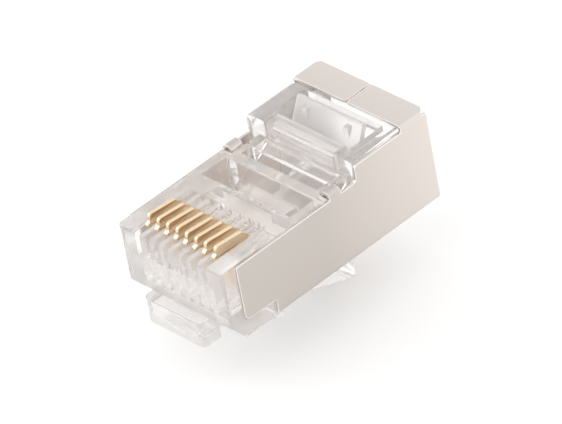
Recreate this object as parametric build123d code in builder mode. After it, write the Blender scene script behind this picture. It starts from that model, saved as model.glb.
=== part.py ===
from build123d import *
import math
import os

os.makedirs("parts", exist_ok=True)

# A shielded eight-way modular plug, in millimetres. X runs across the plug, +Y from the
# nose towards the cable and +Z towards the contacts. The origin is the middle of the nose's
# front face. Heights below are measured up from the latch side of the nose.

# Lengths along the body, each measured on from the one before it
slot_length = 6.17
slot_to_pocket = 1.73
pocket_length = 2.5
pocket_to_trough = 1.05
trough_length = 1.09
ledge_length = 1.39
front_bar_length = 1.34
window_length = 3.33
rear_roof_length = 2.65

# Section, walls and edges of the moulding
nose_width = 11.2
nose_height = 6.5
block_height = 8.0
belly_recess = 0.25
side_recess = 0.05
floor_wall = 0.8
roof_wall = 1.0
side_wall = 0.95
nose_chamfer_length = 1.2
nose_chamfer_rise = 1.46
nose_round = 0.3
rib_round = 0.3
block_round = 0.2

# Contacts and the comb that they sit in
contact_count = 8
contact_pitch = 1.02
blade_thickness = 0.33
blade_front = 1.10
blade_length = 3.54
blade_height = 4.06
blade_stand = 0.91
blade_nose_inset = 0.25
blade_shank_inset = 0.85
blade_nose_depth = 0.66
blade_nose_round = 0.35
blade_edge_round = 0.07
blade_barb_height = 0.2
blade_barb_slope = 0.15
blade_fall = 0.23
blade_heel_length = 0.61
blade_heel_drop = 0.53
tine_count = 3
tine_width = 0.62
tine_height = 1.15
tine_point = 0.45
crimp_travel = 1.39
slot_width = 0.54
slot_mouth_depth = 2.1
slot_tail_depth = 0.9
slot_clearance = 0.12
comb_recess_margin = 0.23
comb_recess_depth = 0.08
channel_diameter = 0.90
channel_height = 2.45
channel_start = 0.9

# Wire chamber, jacket cavity and the openings cut down into them
chamber_width = 8.6
chamber_start = 6.95
chamber_floor = 1.95
chamber_mouth_height = 1.05
chamber_trough_roof = 4.15
chamber_block_roof = 5.6
chamber_end_roof = 6.0
cavity_corner = 1.0
cavity_ramp_length = 2.0
pocket_width = 9.5
pocket_floor = 3.0
relief_bar_width = 5.24
relief_bar_top = 5.0
trough_width = 8.2
trough_rear_wall = 0.3
hook_slot_lead = 0.4
hook_slot_floor = 5.3
hook_ledge_height = 5.6
corner_notch_floor = 5.2
wall_shoulder = 4.45
wall_shoulder_drop = 0.85
ledge_hollow_width = 8.0
ledge_thickness = 0.45
front_bar_width = 7.24
front_bar_slit = 0.28
front_bar_wall = 0.35
front_bar_skin = 0.18
window_width = 8.3

# Clamp plate that folds down on the cable's jacket when the plug is crimped
clamp_plate_width = 7.02
clamp_plate_thickness = 0.45
clamp_plate_length = 2.8
clamp_plate_lean = 27.0
clamp_plate_stand = 0.65
clamp_plate_to_wall = 1.3
clamp_web_thickness = 0.4
clamp_web_top = 6.5
clamp_rib_spacing = 4.48
clamp_rib_width = 0.52
clamp_rib_reach = 0.7
clamp_rib_top = 8.25

# Chin under the nose, and the latch lever that is hinged behind it
latch_width = 6.16
tongue_width = 3.24
chin_reach = 0.95
chin_back = 0.80
chin_drop = 1.12
chin_lip = 0.06
chin_corner = 0.5
hinge_behind_chin = 0.20
hinge_height = -0.60
hinge_clearance = 0.05
root_thickness = 0.80
root_length = 1.6
root_to_lever = 2.2
lever_thickness = 1.15
lever_length = 11.19
lever_slope = 15.2
shoulder_front = 3.3
shoulder_taper = 0.7
shoulder_back = 6.95
shoulder_pad_length = 0.85
shoulder_pad_height = 0.03
shoulder_round = 0.25
tip_length = 4.1
tip_slope = 20.7
tip_depth = 1.55
tip_round = 0.5
tip_top_round = 0.3

# Sheet-metal shield
sheet = 0.23
shield_clearance = 0.02
shield_set_back = 1.29
wing_length = 3.12
wing_bottom = 1.5
wing_corner = 0.55
shield_top_drop = 0.085
shield_step_lead = 0.06
shield_step_round = 0.35
panel_drop = 0.19
panel_corner_round = 0.15
flap_set_back = 0.29
flap_overhang = 0.35
flap_gap = 0.125
flap_seam = 0.12
flap_seam_round = 0.25
flap_corner_cut = 0.5
belly_fold = 0.5
top_fold = 0.32
hook_length = 1.18
hook_rise = 0.45
hook_width = 1.1
hook_leg = 0.95
hook_lap = 0.4
hook_clearance = 0.05

# Places worked out from the sizes above
base = -nose_height / 2
pocket_front = slot_length + slot_to_pocket
pocket_back = pocket_front + pocket_length
trough_front = pocket_back + pocket_to_trough
trough_back = trough_front + trough_length
block_front = trough_back + ledge_length
window_front = block_front + front_bar_length
window_back = window_front + window_length
body_end = window_back + rear_roof_length
blade_top = nose_height + blade_stand
blade_bottom = blade_top - blade_height
blade_back = blade_front + blade_length
blade_nose = blade_front + blade_nose_inset
shank_front = blade_front + blade_shank_inset
barb_top = blade_top - blade_nose_depth
barb_bottom = barb_top - blade_barb_height - 2 * blade_barb_slope
tine_root = blade_bottom + tine_height
tine_spacing = (blade_back - shank_front - tine_width) / (tine_count - 1)
slot_floor = blade_bottom - crimp_travel - slot_clearance
slot_mouth_floor = nose_height - slot_mouth_depth
slot_tail_floor = nose_height - slot_tail_depth
comb_width = (contact_count - 1) * contact_pitch + slot_width
comb_top = nose_height - comb_recess_depth
cavity_floor = belly_recess + floor_wall
cavity_roof = block_height - roof_wall
body_half_width = nose_width / 2 - side_recess
cavity_width = 2 * (body_half_width - side_wall)
panel_inside = body_half_width + shield_clearance
panel_outside = panel_inside + sheet
shield_floor = belly_recess - shield_clearance - sheet
wing_back = shield_set_back + wing_length
shield_top = nose_height - shield_top_drop
shield_step = block_front - shield_step_lead
flap_front = window_back + flap_set_back
flap_top = block_height + flap_gap + sheet
shield_end = body_end + flap_overhang
hook_slot_front = trough_front - hook_slot_lead
hook_slot_back = trough_back
hook_front = hook_slot_front + hook_clearance
hook_inside = panel_outside - hook_width
hook_slot_inside = hook_inside - hook_clearance
hook_slot_outside = hook_inside + sheet + hook_clearance
hinge_y = chin_back + hinge_behind_chin
past = 1.0

contact_places = [
    (number - (contact_count - 1) / 2) * contact_pitch for number in range(contact_count)
]


def side_plane(x=0.0):
    """Plane with local axes of length and height, and its normal along +X."""
    return Plane(origin=(x, 0, base), x_dir=(0, 1, 0), z_dir=(1, 0, 0))


def cross_plane(y):
    """Plane across the plug, with local axes of width and height, facing the nose."""
    return Plane(origin=(0, y, base), x_dir=(1, 0, 0), z_dir=(0, -1, 0))


def plan_plane(height):
    """Level plane at a height above the latch side, with local axes X and Y."""
    return Plane.XY.offset(base + height)


def outline(plane, points, rounds=()):
    """Sketch inside a closed polyline, with each (corner, radius) in rounds rounded."""
    with BuildSketch(plane) as shape:
        with BuildLine():
            Polyline(*points, close=True)
        make_face()
        for corner, radius in rounds:
            fillet(shape.vertices().sort_by_distance(corner)[0], radius)
    return shape.sketch


def cut_well(x_range, y_range, height_range, corner_radius=0.0):
    """Cut a well between two places across, along and up the plug, on both sides of it."""
    x_low, x_high = x_range
    y_low, y_high = y_range
    corners = [(x_low, y_low), (x_high, y_low), (x_high, y_high), (x_low, y_high)]
    rounds = [(corner, corner_radius) for corner in corners] if corner_radius else ()
    depth = height_range[1] - height_range[0]
    well = outline(plan_plane(height_range[0]), corners, rounds)
    extrude(well, amount=depth, mode=Mode.SUBTRACT)
    if x_low > 0:
        extrude(mirror(well, Plane.YZ, mode=Mode.PRIVATE), amount=depth, mode=Mode.SUBTRACT)


# Moulded housing: the stepped body and its chin, then the cavities and wells inside it
body_points = [
    (0, nose_height),
    (block_front, nose_height),
    (block_front, block_height),
    (body_end, block_height),
    (body_end, belly_recess),
    (wing_back - shield_clearance, belly_recess),
    (wing_back - shield_clearance, 0),
    (nose_chamfer_length, 0),
    (0, nose_chamfer_rise),
]
chin_toe = (-chin_reach, -chin_drop)
chin_points = [
    (-chin_reach, nose_chamfer_rise - chin_lip),
    (chin_back, nose_chamfer_rise - chin_lip),
    (chin_back, -chin_drop),
    chin_toe,
]
recess_points = [
    (shield_set_back - shield_clearance, block_height + past),
    (shield_set_back - shield_clearance, wing_bottom - shield_clearance),
    (wing_back - shield_clearance, wing_bottom - shield_clearance),
    (wing_back - shield_clearance, -past),
    (body_end + past, -past),
    (body_end + past, block_height + past),
]
shoulder_points = [
    (wall_shoulder, nose_height),
    (body_half_width, nose_height - wall_shoulder_drop),
    (body_half_width, nose_height),
]
comb_top_points = [
    (-past, comb_top - 2 * rib_round),
    (0, comb_top - 2 * rib_round),
    (0, comb_top),
    (slot_length, comb_top),
    (slot_length, nose_height + past),
    (-past, nose_height + past),
]
slot_points = [
    (-past, nose_height + past),
    (-past, slot_mouth_floor),
    (blade_front - slot_clearance, slot_mouth_floor),
    (blade_front - slot_clearance, slot_floor),
    (blade_back + slot_clearance, slot_floor),
    (blade_back + slot_clearance, slot_tail_floor),
    (slot_length, slot_tail_floor),
    (slot_length, nose_height + past),
]
chamber_points = [
    (chamber_start, chamber_floor),
    (chamber_start, chamber_floor + chamber_mouth_height),
    (trough_front, chamber_trough_roof),
    (block_front, chamber_block_roof),
    (window_front, chamber_end_roof),
    (window_front, cavity_floor),
    (trough_back + cavity_ramp_length, cavity_floor),
    (trough_back, chamber_floor),
]
plate_edge = Vector(window_back - clamp_plate_to_wall, block_height + clamp_plate_stand)
plate_slope = Vector(0, -clamp_plate_length).rotate(Axis.Z, -clamp_plate_lean)
plate_depth = Vector(clamp_plate_thickness, 0).rotate(Axis.Z, -clamp_plate_lean)
plate_foot = plate_edge + plate_slope
plate_points = [plate_edge, plate_foot, plate_foot + plate_depth, plate_edge + plate_depth]
web_points = [
    (window_front - clamp_web_thickness, clamp_web_top - clamp_web_thickness),
    (window_front - clamp_web_thickness, clamp_web_top),
    (plate_foot.X + plate_depth.X / 2, clamp_web_top),
    (plate_foot.X + plate_depth.X / 2, clamp_web_top - clamp_web_thickness),
]
rib_front = plate_edge.X - clamp_rib_reach
clamp_rib_points = [
    (rib_front, clamp_rib_top),
    plate_edge + plate_slope * ((plate_edge.Y - clamp_rib_top) / abs(plate_slope.Y)),
    plate_edge + plate_slope * (clamp_rib_reach / abs(plate_slope.X)),
]

with BuildPart() as housing:
    extrude(outline(side_plane(), body_points), amount=nose_width / 2, both=True)
    fillet(housing.faces().sort_by(Axis.Y)[0].edges().sort_by(Axis.Z)[1:], nose_round)
    for side in (-1, 1):
        recess = outline(side_plane(side * body_half_width), recess_points)
        extrude(recess, amount=side * past, mode=Mode.SUBTRACT)
    fillet(housing.edges().filter_by(Axis.Y).group_by(Axis.Z)[-1], block_round)
    belly_edges = housing.edges().filter_by(Axis.Y).group_by(Axis.Z)[1]
    fillet(belly_edges, belly_fold - sheet - shield_clearance)

    # The chin stands out in front of the nose and holds the latch's hinge behind it
    extrude(
        outline(side_plane(), chin_points, [(chin_toe, chin_corner)]),
        amount=latch_width / 2,
        both=True,
    )
    fillet(housing.edges().filter_by(Axis.Z).group_by(Axis.Y)[0], chin_corner)
    with BuildSketch(side_plane()):
        with Locations((hinge_y, hinge_height)):
            Circle(root_thickness / 2 + hinge_clearance)
    extrude(amount=tongue_width / 2 + hinge_clearance, both=True, mode=Mode.SUBTRACT)

    # The comb lies in a shallow recess: one slot for each contact, over one channel for each
    # conductor
    extrude(
        outline(side_plane(), comb_top_points, [((0, comb_top), rib_round)]),
        amount=comb_width / 2 + comb_recess_margin,
        both=True,
        mode=Mode.SUBTRACT,
    )
    for place in contact_places:
        slot = outline(side_plane(place), slot_points)
        extrude(slot, amount=slot_width / 2, both=True, mode=Mode.SUBTRACT)
    with BuildSketch(cross_plane(channel_start)):
        with Locations((0, channel_height)):
            with GridLocations(contact_pitch, 0, contact_count, 1):
                Circle(channel_diameter / 2)
    extrude(amount=channel_start - chamber_start - past, mode=Mode.SUBTRACT)

    # The wire chamber widens into the jacket cavity, which is open at the rear
    chamber = outline(side_plane(), chamber_points)
    extrude(chamber, amount=chamber_width / 2, both=True, mode=Mode.SUBTRACT)
    with BuildSketch(cross_plane(body_end)):
        with Locations((0, (cavity_floor + cavity_roof) / 2)):
            RectangleRounded(cavity_width, cavity_roof - cavity_floor, cavity_corner)
    extrude(amount=body_end - window_front, mode=Mode.SUBTRACT)

    # Relief pocket with its bar, wire trough, hook slots, notches and window in the top
    pocket_range = (pocket_front, pocket_back)
    above_nose = nose_height + past
    half_pocket = pocket_width / 2
    cut_well((-half_pocket, half_pocket), pocket_range, (relief_bar_top, above_nose))
    cut_well((relief_bar_width / 2, half_pocket), pocket_range, (pocket_floor, above_nose))
    trough_range = (trough_front, trough_back)
    cut_well((-trough_width / 2, trough_width / 2), trough_range, (chamber_floor, above_nose))
    hook_range = (hook_slot_front, hook_slot_back)
    cut_well((hook_slot_inside, panel_outside), hook_range, (hook_ledge_height, above_nose))
    cut_well((hook_slot_inside, hook_slot_outside), hook_range, (hook_slot_floor, above_nose))
    notch_range = (hook_slot_back + trough_rear_wall, block_front)
    cut_well((hook_slot_inside, panel_outside), notch_range, (corner_notch_floor, above_nose))
    for side in (-1, 1):
        shoulder = outline(cross_plane(notch_range[0]), [(side * x, z) for x, z in shoulder_points])
        extrude(shoulder, amount=trough_rear_wall, mode=Mode.SUBTRACT)
    above_block = block_height + past
    slit_range = (front_bar_width / 2, front_bar_width / 2 + front_bar_slit)
    slit_front = block_front + front_bar_skin
    cut_well(slit_range, (slit_front, window_front), (nose_height, above_block))
    window_floor = cavity_roof - cavity_corner
    half_window = window_width / 2
    cut_well((-half_window, half_window), (window_front, window_back), (window_floor, above_block))

    # The ledge and the bar in front of the window are thin-walled, and hollow from below
    half_hollow = ledge_hollow_width / 2
    ledge_heights = (chamber_trough_roof, nose_height - ledge_thickness)
    cut_well((-half_hollow, half_hollow), notch_range, ledge_heights)
    half_hollow = front_bar_width / 2 - front_bar_wall
    bar_range = (block_front + front_bar_wall, window_front - clamp_web_thickness)
    bar_heights = (chamber_block_roof, block_height - ledge_thickness)
    cut_well((-half_hollow, half_hollow), bar_range, bar_heights)

    # The clamp plate stands in the window on a thin web that folds
    extrude(outline(side_plane(), plate_points), amount=clamp_plate_width / 2, both=True)
    extrude(outline(side_plane(), web_points), amount=clamp_plate_width / 2, both=True)
    for place in (-clamp_rib_spacing / 2, clamp_rib_spacing / 2):
        rib = outline(side_plane(place), clamp_rib_points)
        extrude(rib, amount=clamp_rib_width / 2, both=True)

housing.part.label = "housing"
export_step(housing.part, "parts/housing.step")


# Latch lever: a side profile trimmed to its plan, thin and narrow at the hinge
def along_lever(distance, rise):
    """Point at a distance down the lever from its hinge, raised square to its slope."""
    return Vector(hinge_y, hinge_height) + Vector(distance, rise).rotate(Axis.Z, -lever_slope)


def lever_underside(y):
    """Height of the lever's underside at a place along the plug."""
    start = along_lever(0, -root_half)
    return start.Y - (y - start.X) * math.tan(math.radians(lever_slope))


root_half = root_thickness / 2
lever_rise = lever_thickness - root_half
lever_bend = along_lever(lever_length, -root_half)
tip_low = lever_bend + Vector(tip_length, 0).rotate(Axis.Z, -tip_slope)
tip_high = tip_low + Vector(0, tip_depth)
lever_points = [
    along_lever(0, root_half),
    along_lever(0, -root_half),
    lever_bend,
    tip_low,
    tip_high,
    along_lever(lever_length, lever_rise),
    along_lever(root_length + root_to_lever, lever_rise),
    along_lever(root_length, root_half),
]
half_tongue = tongue_width / 2
half_latch = latch_width / 2
plan_right_side = [
    (half_tongue, 0),
    (half_tongue, shoulder_front),
    (half_latch, shoulder_front + shoulder_taper),
    (half_latch, shoulder_back),
    (half_tongue, shoulder_back),
    (half_tongue, tip_high.X + past),
]
plan_points = plan_right_side + [(-x, y) for x, y in reversed(plan_right_side)]
plan_rounds = [
    ((side * half_latch, shoulder_front + shoulder_taper), shoulder_round) for side in (-1, 1)
]
pad_front = shoulder_back - shoulder_pad_length
pad_bottom = lever_underside(shoulder_back) - shoulder_pad_height
pad_points = [
    (pad_front, lever_underside(pad_front)),
    (pad_front, pad_bottom),
    (shoulder_back, pad_bottom),
    (shoulder_back, lever_underside(shoulder_back)),
]

with BuildPart() as latch_lever:
    with BuildSketch(side_plane()) as lever_side:
        with BuildLine():
            Polyline(*lever_points, close=True)
        make_face()
        fillet(lever_side.vertices().sort_by_distance(tip_low)[0], tip_round)
        fillet(lever_side.vertices().sort_by_distance(tip_high)[0], tip_top_round)
        with Locations((hinge_y, hinge_height)):
            Circle(root_half)
    extrude(amount=half_latch, both=True)
    lever_plan = outline(plan_plane(hinge_height), plan_points, plan_rounds)
    extrude(lever_plan, amount=nose_height, both=True, mode=Mode.INTERSECT)
    for side in (-1, 1):
        pad = outline(side_plane(side * half_tongue), pad_points)
        extrude(pad, amount=side * (half_latch - half_tongue))

latch_lever.part.label = "latch_lever"
export_step(latch_lever.part, "parts/latch_lever.step")

# Shield: a folded sheet tube with a seam on top, trimmed to its side view, with hook tabs
panel_top = block_height - panel_drop
trim_points = [
    (shield_set_back, shield_top),
    (shield_step, shield_top),
    (shield_step, panel_top),
    (flap_front, panel_top),
    (flap_front, flap_top + past),
    (shield_end, flap_top + past),
    (shield_end, shield_floor - past),
    (wing_back, shield_floor - past),
    (wing_back, wing_bottom),
    (shield_set_back, wing_bottom),
]
trim_rounds = [
    ((shield_set_back, wing_bottom), wing_corner),
    ((shield_set_back, shield_top), panel_corner_round),
    ((shield_step, panel_top), shield_step_round),
    ((shield_step, shield_top), shield_step_round),
]
flap_corner_points = [
    (panel_outside, shield_end),
    (panel_outside - flap_corner_cut, shield_end),
    (panel_outside, shield_end - flap_corner_cut),
]
hook_bend = (hook_width - sheet) / 2
hook_middle = panel_outside - hook_width / 2
hook_bend_height = nose_height + hook_rise - hook_width / 2

with BuildPart() as shield:
    with BuildSketch(cross_plane(shield_end)) as tube:
        with BuildLine():
            Polyline(
                (-panel_outside, shield_floor),
                (panel_outside, shield_floor),
                (panel_outside, flap_top),
                (-panel_outside, flap_top),
                close=True,
            )
        make_face()
        fillet(tube.vertices().group_by(Axis.Y)[0], belly_fold)
        fillet(tube.vertices().group_by(Axis.Y)[-1], top_fold)
        offset(tube.faces()[0], amount=-sheet, mode=Mode.SUBTRACT)
    extrude(amount=shield_end - shield_set_back)
    extrude(
        outline(side_plane(), trim_points, trim_rounds),
        amount=panel_outside + past,
        both=True,
        mode=Mode.INTERSECT,
    )
    seam_range = (-flap_seam / 2, flap_seam / 2)
    cut_well(seam_range, (0, shield_end + past), (panel_top, flap_top + past))
    seam_edges = shield.edges().filter_by(Axis.Z).filter_by(
        lambda edge: abs(edge.center().X) < flap_seam and edge.center().Y < flap_front + past
    )
    fillet(seam_edges, flap_seam_round)
    for side in (-1, 1):
        corner = outline(plan_plane(block_height), [(side * x, y) for x, y in flap_corner_points])
        extrude(corner, amount=flap_top - block_height, mode=Mode.SUBTRACT)

    # Each side has a tab that folds over the housing's wall and down into its slot
    for side in (-1, 1):
        outer = (side * (hook_middle + hook_bend), hook_bend_height)
        crown = (side * hook_middle, hook_bend_height + hook_bend)
        inner = (side * (hook_middle - hook_bend), hook_bend_height)
        with BuildSketch(cross_plane(hook_front)):
            with BuildLine():
                Line((outer[0], shield_top - hook_lap), outer)
                ThreePointArc(outer, crown, inner)
                Line(inner, (inner[0], hook_bend_height - hook_leg))
            trace(line_width=sheet)
        extrude(amount=-hook_length)

shield.part.label = "shield"
export_step(shield.part, "parts/shield.step")

# Contacts: pointed-tined blades, standing proud as they do before the plug is crimped
blade_points = [
    (blade_back, blade_top - blade_fall - blade_heel_drop),
    (blade_back - blade_heel_length, blade_top - blade_fall),
    (blade_nose, blade_top),
    (blade_nose, barb_top),
    (blade_front, barb_top - blade_barb_slope),
    (blade_front, barb_bottom + blade_barb_slope),
    (shank_front, barb_bottom),
]
for number in range(tine_count):
    tine_front = shank_front + number * tine_spacing
    blade_points += [
        (tine_front, tine_root),
        (tine_front, blade_bottom + tine_point),
        (tine_front + tine_width / 2, blade_bottom),
        (tine_front + tine_width, blade_bottom + tine_point),
        (tine_front + tine_width, tine_root),
    ]

for number, place in enumerate(contact_places, start=1):
    with BuildPart() as contact:
        rounds = [((blade_nose, blade_top), blade_nose_round)]
        blade = outline(side_plane(place), blade_points, rounds)
        extrude(blade, amount=blade_thickness / 2, both=True)
        side_edges = contact.edges().filter_by(Axis.X, reverse=True)
        fillet(side_edges.filter_by_position(Axis.Z, base + barb_top, base + blade_top), blade_edge_round)
    contact.part.label = f"contact_{number}"
    export_step(contact.part, f"parts/contact_{number}.step")
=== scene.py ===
import math

import bpy
from mathutils import Matrix, Vector


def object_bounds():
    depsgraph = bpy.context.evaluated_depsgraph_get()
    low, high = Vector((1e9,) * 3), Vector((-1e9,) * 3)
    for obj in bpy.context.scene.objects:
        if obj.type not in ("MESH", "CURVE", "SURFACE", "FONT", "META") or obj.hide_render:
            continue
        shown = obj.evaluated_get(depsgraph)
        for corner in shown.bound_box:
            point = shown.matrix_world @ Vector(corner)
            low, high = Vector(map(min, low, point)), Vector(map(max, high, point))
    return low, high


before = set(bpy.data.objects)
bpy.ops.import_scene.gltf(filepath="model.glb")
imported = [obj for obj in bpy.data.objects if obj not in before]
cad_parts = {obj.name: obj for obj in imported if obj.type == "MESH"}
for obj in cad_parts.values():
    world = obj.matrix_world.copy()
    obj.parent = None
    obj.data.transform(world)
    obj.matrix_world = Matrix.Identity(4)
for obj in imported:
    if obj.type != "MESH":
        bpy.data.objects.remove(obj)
cad_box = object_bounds()

# The camera stands off the plug's nose and right side, above it, and leans a little
CAMERA_PLACE = Vector((0.34138, -0.25457, 0.31353))
CAMERA_AZIMUTH = math.radians(52.13)
CAMERA_ELEVATION = math.radians(35.96)
CAMERA_ROLL = math.radians(-11.06)
CAMERA_LENS = 458.8
SENSOR_WIDTH = 36.0
CLIP_NEAR, CLIP_FAR = 0.01, 20.0

# White surroundings, as seen and reflected, and as light on rough surfaces
BACKDROP_LEVEL = 1.0
AMBIENT_LEVEL = 0.95

# Lamps, each with its place, side and power in watts
LAMPS = {
    "key": ((0.30, 0.26, 0.33), 0.45, 0.13),
    "front": ((-0.32, -0.225, 0.31), 0.28, 0.28),
}

# Floor's half width, its drop below the plug's lowest point, and its glow over its paint
FLOOR_HALF = 3.0
FLOOR_DROP = 0.00002
FLOOR_GLOW = 0.22

# Light crosses many walls of the clear moulding before it comes out
BOUNCES = 32

# Colours, linear
WHITE = (1.0, 1.0, 1.0, 1.0)
FLOOR_PAINT = (0.9, 0.9, 0.9, 1.0)
CLEAR = (0.995, 0.980, 0.970, 1.0)
# Colour of the plastic's painted glow, though it is no lamp
PAINTED_GLOW_COLOUR = (1.0, 0.95, 0.92, 1.0)
NICKEL = (0.58, 0.535, 0.495, 1.0)
# Painted sheen: the nickel lighter at the cable end
NICKEL_PAINTED_SHEEN_AT_REAR = (0.76, 0.70, 0.655, 1.0)
# Painted highlight along the nickel's edges
NICKEL_EDGE_HIGHLIGHT = (1.0, 0.99, 0.98, 1.0)
# Painted light on the nickel's inner faces at the nose, and painted shade on them deep in the cable
# end
PAINTED_LIGHT_INSIDE = (0.80, 0.74, 0.69, 1.0)
PAINTED_SHADE_INSIDE = (0.32, 0.29, 0.27, 1.0)
GOLD = (0.89, 0.71, 0.49, 1.0)
# Painted highlight along the gold blades' edges
GOLD_EDGE_HIGHLIGHT = (1.0, 0.94, 0.80, 1.0)

POLYCARBONATE_IOR = 1.585
# Strength of the plastic's painted glow, which lifts it though it is no lamp
PAINTED_GLOW = 0.042

# Roughness of the plastic and its share of clear light at the nose and behind it, and what
# multiplies them on the chin and the latch, and on the clamp plate
NOSE_HAZE, NOSE_CLARITY = 0.09, 0.84
REAR_HAZE, REAR_CLARITY = 0.02, 0.92
LOW_HAZE, LOW_CLARITY = 3.5, 0.80
PLATE_HAZE, PLATE_CLARITY = 11.0, 0.76

# What multiplies the plastic's roughness from its clearest patches to its haziest
HAZE_PATCHINESS = (0.4, 1.6)

# Roughness of the metals from patch to patch, and on a viewer that shows no patches
NICKEL_ROUGHNESS = (0.24, 0.36)
NICKEL_PLAIN_ROUGHNESS = 0.3
GOLD_ROUGHNESS = (0.18, 0.30)
GOLD_PLAIN_ROUGHNESS = 0.2

# Space around the clamp plate and its pegs, across, along and up, and how far its frost fades
PLATE_SPACE = ((-0.0036, 0.0036), (0.0151, 0.01775), (0.0026, 0.0055))
PLATE_FADE = 0.0005

# Distances back from the nose, and heights, over which the plastic's haze and clarity change, the
# nickel's painted sheen rises and the painted shade on its inner faces deepens
HAZE_FADE = (0.0, 0.007)
HAZE_LIFT = (-0.0035, -0.0018)
PAINTED_SHEEN_RISE = (0.010, 0.022)
INSIDE_PAINTED_SHADE_SPAN = (0.014, 0.018)

# Distance from the long axis to a face's plane, negative where the face looks inward, over
# which the painted light and shade of the inner faces take over
INWARD_SPAN = (-0.001, -0.002)

# Radius of the painted highlight, a bright line along an edge, and the cosines of the turn at which
# it is full and at which it ends
NICKEL_HIGHLIGHT_RADIUS = 0.00015
GOLD_HIGHLIGHT_RADIUS = 0.00007
EDGE_TURN = (0.93, 0.99)
EDGE_SAMPLES = 6

# Scales along the axes: the same on all three, and flat along the plug
EVEN = (1.0, 1.0, 1.0)
FLAT_ALONG = (1.0, 0.0, 1.0)

# Noise, each with its scale to the metre, its detail and, in a rolled grain, its own stretch
HAZE_NOISE = (220.0, 3.0)
RIPPLE_NOISE = (380.0, 2.0)
CLOUD_NOISE = (120.0, 3.0)
NICKEL_GRAIN = (900.0, 4.0, (1.0, 0.06, 1.0))
GOLD_GRAIN = (1500.0, 3.0, (1.0, 0.15, 1.0))

# Relief, each with its strength, its depth and the radius that softens the edges
RIPPLE_RELIEF = (0.005, 0.00006, 0.000025)
GRAIN_RELIEF = (0.10, 0.00001, 0.00004)
SOFTENING_SAMPLES = 4

# Places of the colours on a Mix node, where several sockets share a name
MIX_FIRST, MIX_SECOND, MIX_RESULT = 6, 7, 2


def set_inputs(tree, node, inputs):
    """Set each input to its value, or link it to another node's output."""
    for name, value in inputs.items():
        if isinstance(value, bpy.types.NodeSocket):
            tree.links.new(value, node.inputs[name])
        else:
            node.inputs[name].default_value = value


def add_node(tree, kind, inputs, **settings):
    """Node of a kind, with its inputs and its settings."""
    node = tree.nodes.new(kind)
    for name, value in settings.items():
        setattr(node, name, value)
    set_inputs(tree, node, inputs)
    return node


def empty_tree(owner):
    """Node tree of a material or a world, cleared."""
    owner.use_nodes = True
    owner.node_tree.nodes.clear()
    return owner.node_tree


def remap(tree, value, low, high, start=0.0, end=1.0):
    """Value between start and end, clamped there and spread over a new range."""
    inputs = {"Value": value, "From Min": start, "From Max": end, "To Min": low, "To Max": high}
    return add_node(tree, "ShaderNodeMapRange", inputs).outputs["Result"]


def times(tree, first, second):
    """Product of two values."""
    product = add_node(tree, "ShaderNodeMath", {0: first, 1: second}, operation="MULTIPLY")
    return product.outputs["Value"]


def dot(tree, first, second):
    """Dot product of two vectors."""
    inputs = {0: first, 1: second}
    return add_node(tree, "ShaderNodeVectorMath", inputs, operation="DOT_PRODUCT").outputs["Value"]


def blend(tree, share, first, second):
    """Colour between two, each a colour or another node's output."""
    inputs = {"Factor": share, MIX_FIRST: first, MIX_SECOND: second}
    return add_node(tree, "ShaderNodeMix", inputs, data_type="RGBA").outputs[MIX_RESULT]


def stretched(tree, scale):
    """The object's own coordinates, scaled along its axes."""
    place = tree.nodes.new("ShaderNodeTexCoord").outputs["Object"]
    mapping = add_node(tree, "ShaderNodeMapping", {"Vector": place, "Scale": scale})
    return mapping.outputs["Vector"]


def noise(tree, scale, detail, stretch=EVEN):
    """Noise over the object's own coordinates, stretched along its axes."""
    inputs = {"Vector": stretched(tree, stretch), "Scale": scale, "Detail": detail}
    return add_node(tree, "ShaderNodeTexNoise", inputs).outputs["Fac"]


def along(tree, axis, low, high, span):
    """Value that runs from low to high over a span of one of the object's axes."""
    place = tree.nodes.new("ShaderNodeTexCoord").outputs["Object"]
    split = add_node(tree, "ShaderNodeSeparateXYZ", {"Vector": place})
    return remap(tree, split.outputs[axis], low, high, *span)


def within(tree, space, fade):
    """1 inside a box of the object's space, down to 0 at a fade's distance beyond it."""
    share = None
    for axis, (low, high) in zip("XYZ", space):
        rise = along(tree, axis, 0.0, 1.0, (low - fade, low))
        fall = along(tree, axis, 1.0, 0.0, (high, high + fade))
        between = times(tree, rise, fall)
        share = between if share is None else times(tree, share, between)
    return share


def facing_inward(tree):
    """1 on faces that look towards the plug's long axis, and 0 elsewhere."""
    across = stretched(tree, FLAT_ALONG)
    facing = tree.nodes.new("ShaderNodeTexCoord").outputs["Normal"]
    return remap(tree, dot(tree, across, facing), 0.0, 1.0, *INWARD_SPAN)


def softened(tree, radius, samples):
    """Normal rounded off along edges, over a small radius."""
    bevel = add_node(tree, "ShaderNodeBevel", {"Radius": radius}, samples=samples)
    return bevel.outputs["Normal"]


def on_edges(tree, radius):
    """1 along edges, out to a small radius from them, and 0 on open faces."""
    flat = tree.nodes.new("ShaderNodeNewGeometry").outputs["Normal"]
    turn = dot(tree, softened(tree, radius, EDGE_SAMPLES), flat)
    return remap(tree, turn, 1.0, 0.0, *EDGE_TURN)


def relief(tree, height, strength, depth, edge_radius):
    """Bumped normal, on edges softened over a small radius."""
    rounded = softened(tree, edge_radius, SOFTENING_SAMPLES)
    inputs = {"Strength": strength, "Distance": depth, "Height": height, "Normal": rounded}
    return add_node(tree, "ShaderNodeBump", inputs).outputs["Normal"]


def by_ray(tree, seen, scattered):
    """One level for light scattered by rough surfaces, and another for every other ray."""
    path = tree.nodes.new("ShaderNodeLightPath")
    return remap(tree, path.outputs["Is Diffuse Ray"], seen, scattered)


def new_surface(name, inputs):
    """Material with one shader, its tree and the shader with its plain inputs."""
    material = bpy.data.materials.new(name)
    tree = empty_tree(material)
    shader = add_node(tree, "ShaderNodeBsdfPrincipled", inputs)
    add_node(tree, "ShaderNodeOutputMaterial", {"Surface": shader.outputs["BSDF"]})
    return material, tree, shader


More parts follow.
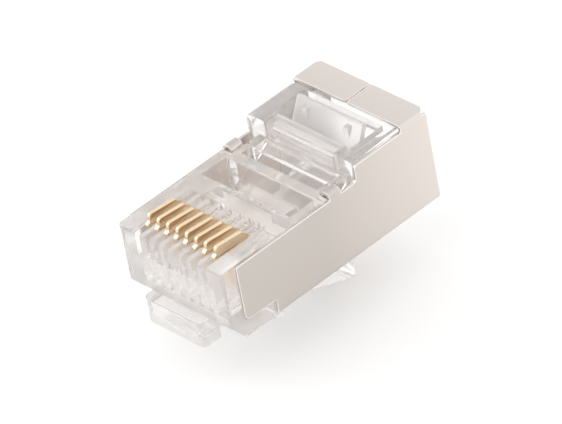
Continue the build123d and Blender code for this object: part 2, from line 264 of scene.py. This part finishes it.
def clear_plastic():
    """Clear rippled polycarbonate, milky at the nose, chin and latch, frosted on the clamp plate,
    with a faint painted glow.
    """
    inputs = {
        "Base Color": CLEAR,
        "IOR": POLYCARBONATE_IOR,
        "Transmission Weight": REAR_CLARITY,
        "Roughness": REAR_HAZE,
        "Emission Color": PAINTED_GLOW_COLOUR,
        "Emission Strength": PAINTED_GLOW,
    }
    material, tree, plastic = new_surface("clear_polycarbonate", inputs)
    plate = within(tree, PLATE_SPACE, PLATE_FADE)
    haze = remap(tree, noise(tree, *HAZE_NOISE), *HAZE_PATCHINESS)
    haze = times(tree, haze, along(tree, "Y", NOSE_HAZE, REAR_HAZE, HAZE_FADE))
    haze = times(tree, haze, along(tree, "Z", LOW_HAZE, 1.0, HAZE_LIFT))
    haze = times(tree, haze, remap(tree, plate, 1.0, PLATE_HAZE))
    clarity = along(tree, "Y", NOSE_CLARITY, REAR_CLARITY, HAZE_FADE)
    clarity = times(tree, clarity, along(tree, "Z", LOW_CLARITY, 1.0, HAZE_LIFT))
    clarity = times(tree, clarity, remap(tree, plate, 1.0, PLATE_CLARITY))
    ripple = relief(tree, noise(tree, *RIPPLE_NOISE), *RIPPLE_RELIEF)
    links = {"Roughness": haze, "Transmission Weight": clarity, "Normal": ripple}
    set_inputs(tree, plastic, links)
    return material


def nickel_sheet():
    """Satin nickel plating over rolled sheet, with a painted sheen towards the cable end, painted
    highlights on its edges, and painted shade inside the cable end.
    """
    inputs = {"Metallic": 1.0, "Roughness": NICKEL_PLAIN_ROUGHNESS}
    material, tree, metal = new_surface("satin_nickel_sheet", inputs)
    # Painted sheen: the plating turns lighter towards the cable end
    plating_and_painted_sheen = blend(tree, along(tree, "Y", 0.0, 1.0, PAINTED_SHEEN_RISE), NICKEL, NICKEL_PAINTED_SHEEN_AT_REAR)
    # Painted highlight along the sheet's edges
    outside = blend(tree, on_edges(tree, NICKEL_HIGHLIGHT_RADIUS), plating_and_painted_sheen, NICKEL_EDGE_HIGHLIGHT)
    # Inner faces get painted light at the nose, turning to painted shade deeper in the cable end
    depth = along(tree, "Y", 0.0, 1.0, INSIDE_PAINTED_SHADE_SPAN)
    inside = blend(tree, depth, PAINTED_LIGHT_INSIDE, PAINTED_SHADE_INSIDE)
    colour = blend(tree, facing_inward(tree), outside, inside)
    roughness = remap(tree, noise(tree, *CLOUD_NOISE), *NICKEL_ROUGHNESS)
    grain = relief(tree, noise(tree, *NICKEL_GRAIN), *GRAIN_RELIEF)
    set_inputs(tree, metal, {"Base Color": colour, "Roughness": roughness, "Normal": grain})
    return material


def gold_plate():
    """Bright gold plating over a stamped blade, with a painted highlight along its edges."""
    inputs = {"Base Color": GOLD, "Metallic": 1.0, "Roughness": GOLD_PLAIN_ROUGHNESS}
    material, tree, metal = new_surface("gold_plate", inputs)
    # Painted highlight along the blade's edges
    colour = blend(tree, on_edges(tree, GOLD_HIGHLIGHT_RADIUS), GOLD, GOLD_EDGE_HIGHLIGHT)
    height = noise(tree, *GOLD_GRAIN)
    roughness = remap(tree, height, *GOLD_ROUGHNESS)
    grain = relief(tree, height, *GRAIN_RELIEF)
    set_inputs(tree, metal, {"Base Color": colour, "Roughness": roughness, "Normal": grain})
    return material


def white_floor():
    """White paint that also glows, except towards rough surfaces, see-through from behind."""
    material = bpy.data.materials.new("white_floor")
    tree = empty_tree(material)
    paint = add_node(tree, "ShaderNodeBsdfDiffuse", {"Color": FLOOR_PAINT})
    level = by_ray(tree, FLOOR_GLOW, 0.0)
    glow = add_node(tree, "ShaderNodeEmission", {"Color": WHITE, "Strength": level})
    lit = {0: paint.outputs["BSDF"], 1: glow.outputs["Emission"]}
    front = add_node(tree, "ShaderNodeAddShader", lit).outputs["Shader"]
    back = tree.nodes.new("ShaderNodeBsdfTransparent").outputs["BSDF"]
    side = tree.nodes.new("ShaderNodeNewGeometry").outputs["Backfacing"]
    both = add_node(tree, "ShaderNodeMixShader", {0: side, 1: front, 2: back})
    add_node(tree, "ShaderNodeOutputMaterial", {"Surface": both.outputs["Shader"]})
    return material


def lay_floor():
    """Floor just under the lowest point of the plug."""
    level = cad_box[0][2] - FLOOR_DROP
    half = FLOOR_HALF
    corners = [(-half, -half, level), (half, -half, level), (half, half, level), (-half, half, level)]
    mesh = bpy.data.meshes.new("floor")
    mesh.from_pydata(corners, [], [(0, 1, 2, 3)])
    mesh.materials.append(white_floor())
    floor = bpy.data.objects.new("floor", mesh)
    bpy.context.scene.collection.objects.link(floor)


def set_world():
    """White surroundings that light the plug softly from every side."""
    world = bpy.data.worlds.new("studio")
    tree = empty_tree(world)
    level = by_ray(tree, BACKDROP_LEVEL, AMBIENT_LEVEL)
    background = add_node(tree, "ShaderNodeBackground", {"Color": WHITE, "Strength": level})
    add_node(tree, "ShaderNodeOutputWorld", {"Surface": background.outputs["Background"]})
    bpy.context.scene.world = world


def add_lamp(name, place, side, watts):
    """Square soft lamp that faces the middle of the plug."""
    light = bpy.data.lights.new(name, "AREA")
    light.energy = watts
    light.size = side
    lamp = bpy.data.objects.new(name, light)
    lamp.location = place
    middle = (Vector(cad_box[0]) + Vector(cad_box[1])) / 2
    lamp.rotation_euler = (middle - Vector(place)).to_track_quat("-Z", "Y").to_euler()
    bpy.context.scene.collection.objects.link(lamp)


def set_camera():
    """Camera at the photograph's place, angle and lens."""
    sin_a, cos_a = math.sin(CAMERA_AZIMUTH), math.cos(CAMERA_AZIMUTH)
    sin_e, cos_e = math.sin(CAMERA_ELEVATION), math.cos(CAMERA_ELEVATION)
    level_right = Vector((cos_a, sin_a, 0.0))
    level_up = Vector((-sin_a * sin_e, cos_a * sin_e, cos_e))
    backward = Vector((sin_a * cos_e, -cos_a * cos_e, sin_e))
    right = level_right * math.cos(CAMERA_ROLL) + level_up * math.sin(CAMERA_ROLL)
    up = backward.cross(right)
    data = bpy.data.cameras.new("camera")
    data.lens = CAMERA_LENS
    data.sensor_width = SENSOR_WIDTH
    data.sensor_fit = "HORIZONTAL"
    data.clip_start = CLIP_NEAR
    data.clip_end = CLIP_FAR
    camera = bpy.data.objects.new("camera", data)
    turn = Matrix((right, up, backward)).transposed().to_4x4()
    camera.matrix_world = Matrix.Translation(CAMERA_PLACE) @ turn
    bpy.context.scene.collection.objects.link(camera)
    bpy.context.scene.camera = camera


def dress(node, material):
    """Give a CAD node a material in place of its own."""
    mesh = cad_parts[node].data
    mesh.materials.clear()
    mesh.materials.append(material)


set_camera()
set_world()
lay_floor()
for name, (place, side, watts) in LAMPS.items():
    add_lamp(name, place, side, watts)

clear = clear_plastic()
gold = gold_plate()
dress("housing", clear)
dress("latch_lever", clear)
dress("shield", nickel_sheet())
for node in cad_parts:
    if node.startswith("contact"):
        dress(node, gold)

scene = bpy.context.scene
scene.view_settings.view_transform = "Standard"
scene.cycles.max_bounces = BOUNCES
scene.cycles.glossy_bounces = BOUNCES
scene.cycles.transmission_bounces = BOUNCES
